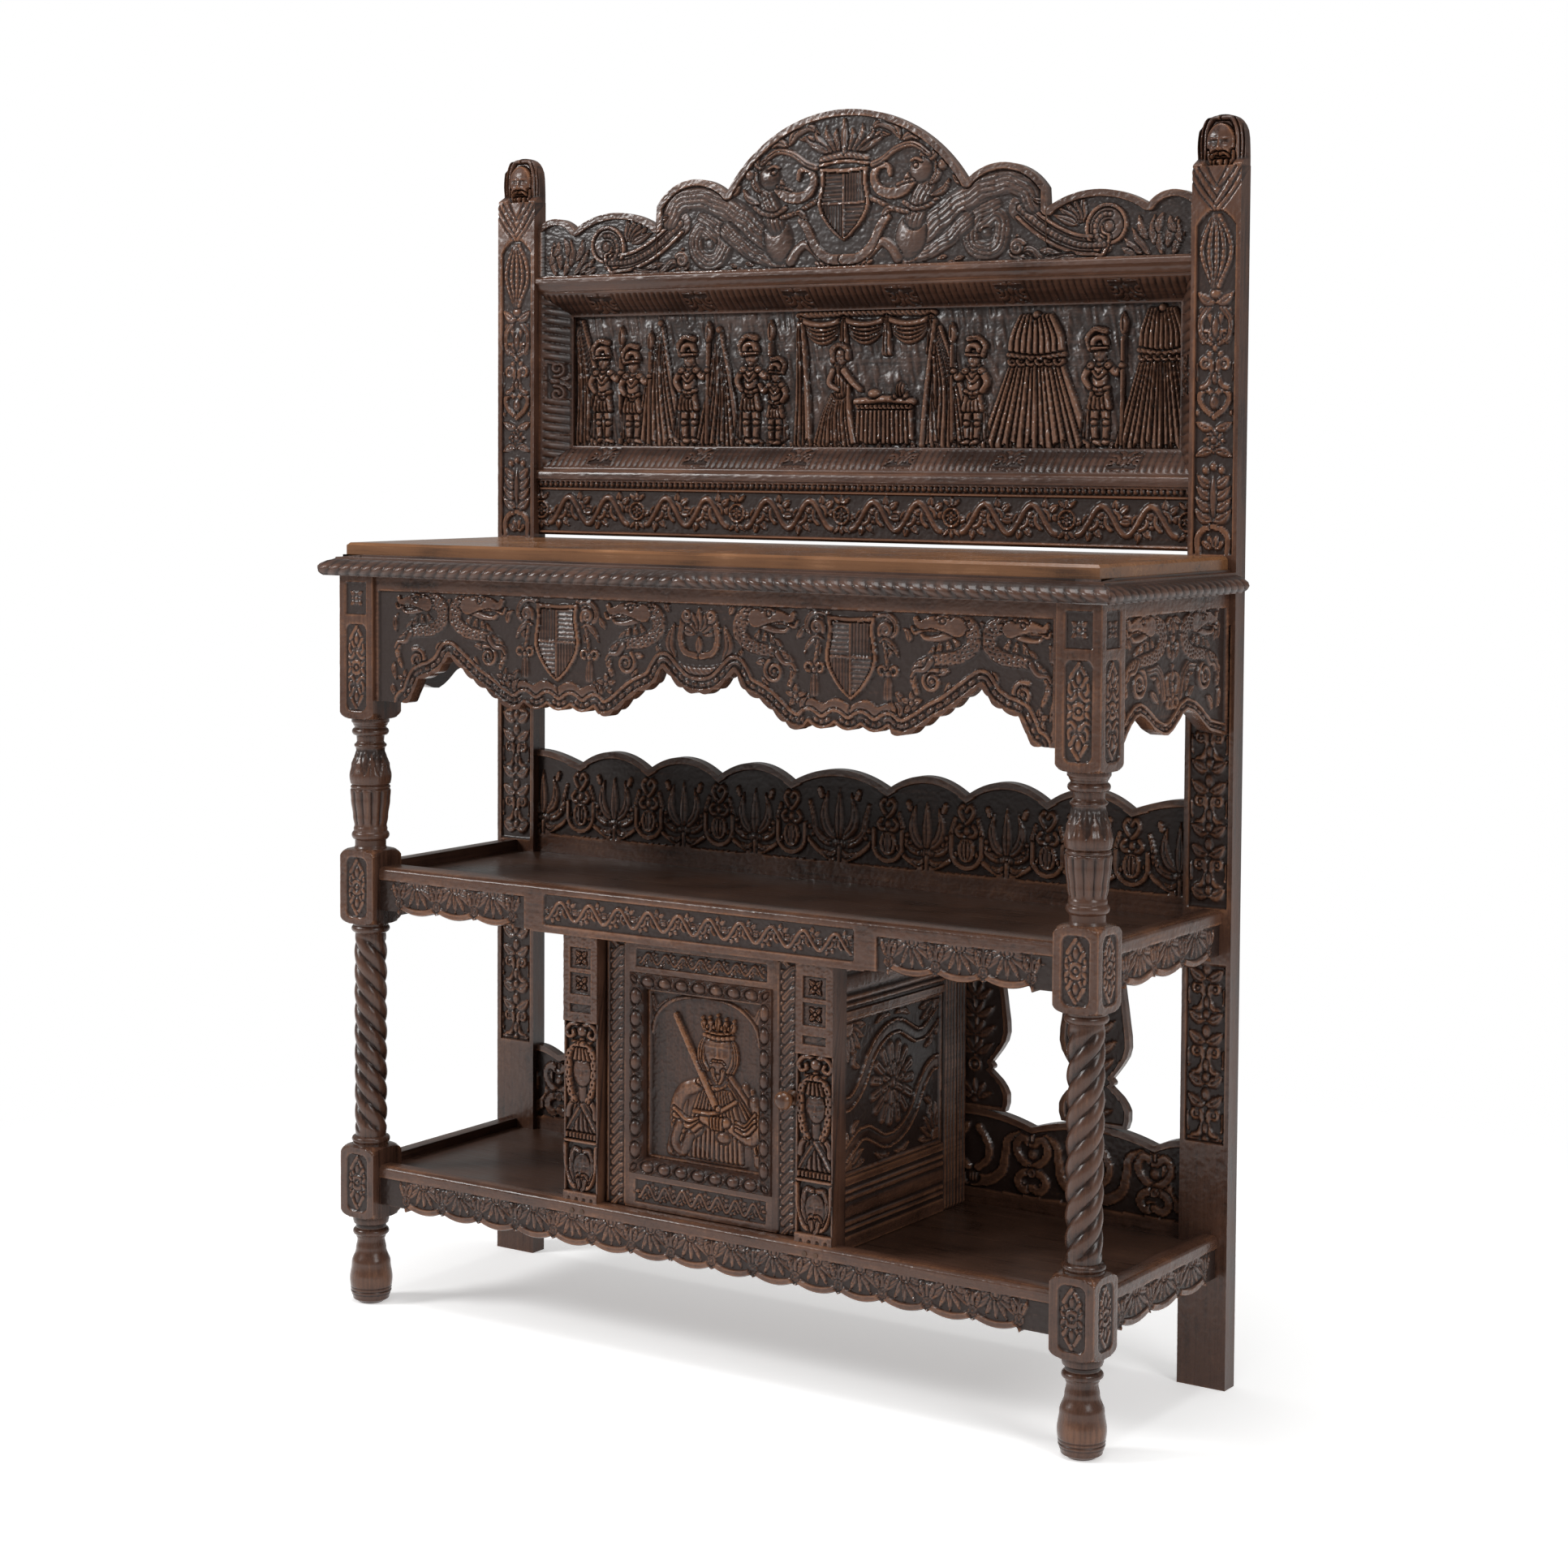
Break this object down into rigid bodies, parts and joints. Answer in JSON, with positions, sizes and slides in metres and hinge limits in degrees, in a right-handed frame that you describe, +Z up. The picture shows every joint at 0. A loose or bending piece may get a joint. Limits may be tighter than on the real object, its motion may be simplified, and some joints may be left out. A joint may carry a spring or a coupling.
{
  "type": "court cupboard",
  "caption": "Carved oak court cupboard with turned front supports, open shelves, a small door cupboard and an arched, carved back above the top board.",
  "frame": {"origin": "on the floor under the middle of the overall width and depth", "axes": "+X to the right seen from the front, -Y out of the front, +Z up"},
  "size_m": [1.3282, 0.4781, 1.8009],
  "materials": {
    "carved_oak": "waxed",
    "turned_oak": "waxed",
    "plank_oak": "waxed",
    "door_oak": "waxed",
    "peg_oak": "waxed",
    "iron": "dull"
  },
  "bodies": {
    "carcase": {"back_splats_left": "carved_oak", "back_splats_right": "carved_oak", "cornice_front": "carved_oak", "cornice_left": "carved_oak", "cornice_right": "carved_oak", "crest_board": "carved_oak", "crest_rail": "carved_oak", "cup_baluster_left": "turned_oak", "cup_baluster_right": "turned_oak", "cupboard_back": "plank_oak", "cupboard_side_panel_left": "carved_oak", "cupboard_side_panel_right": "carved_oak", "cupboard_side_rails_left": "carved_oak", "cupboard_side_rails_right": "carved_oak", "cupboard_stile_left": "carved_oak", "cupboard_stile_right": "carved_oak", "door_pins": "iron", "frame_moulding_bottom": "carved_oak", "frame_moulding_left": "carved_oak", "frame_moulding_right": "carved_oak", "frame_moulding_top": "carved_oak", "front_apron": "carved_oak", "front_foot_left": "turned_oak", "front_foot_right": "turned_oak", "head_finial_left": "carved_oak", "head_finial_right": "carved_oak", "lower_back_panel": "carved_oak", "lower_front_rail": "carved_oak", "lower_shelf": "plank_oak", "lower_side_rail_left": "carved_oak", "lower_side_rail_right": "carved_oak", "mid_back_panel": "carved_oak", "mid_block_left": "turned_oak", "mid_block_right": "turned_oak", "mid_front_rail": "carved_oak", "mid_shelf": "plank_oak", "mid_side_rail_left": "carved_oak", "mid_side_rail_right": "carved_oak", "pilaster_left": "carved_oak", "pilaster_pegs": "peg_oak", "pilaster_right": "carved_oak", "rear_post_left": "carved_oak", "rear_post_right": "carved_oak", "scene_panel": "carved_oak", "side_apron_left": "carved_oak", "side_apron_right": "carved_oak", "top_board": "plank_oak", "top_rear_rail": "plank_oak", "twist_column_left": "turned_oak", "twist_column_right": "turned_oak", "upper_block_left": "turned_oak", "upper_block_right": "turned_oak", "upper_rail": "carved_oak"},
    "door": {"door_stile_left": "door_oak", "door_stile_right": "door_oak", "door_rails": "door_oak", "door_panel": "door_oak", "door_moulding": "door_oak"},
    "latch": {"door_knob": "door_oak", "latch_tongue": "iron"}
  },
  "joints": [
    {"name": "door_hinge", "type": "hinge", "parent": "carcase", "child": "door", "pos_m": [-0.158, -0.169, 0.4], "axis": [0, 0, -1], "range_deg": [0, 90]},
    {"name": "latch_turn", "type": "hinge", "parent": "door", "child": "latch", "pos_m": [0.156, -0.169, 0.41], "axis": [0, -1, 0], "range_deg": [0, 90]}
  ]
}
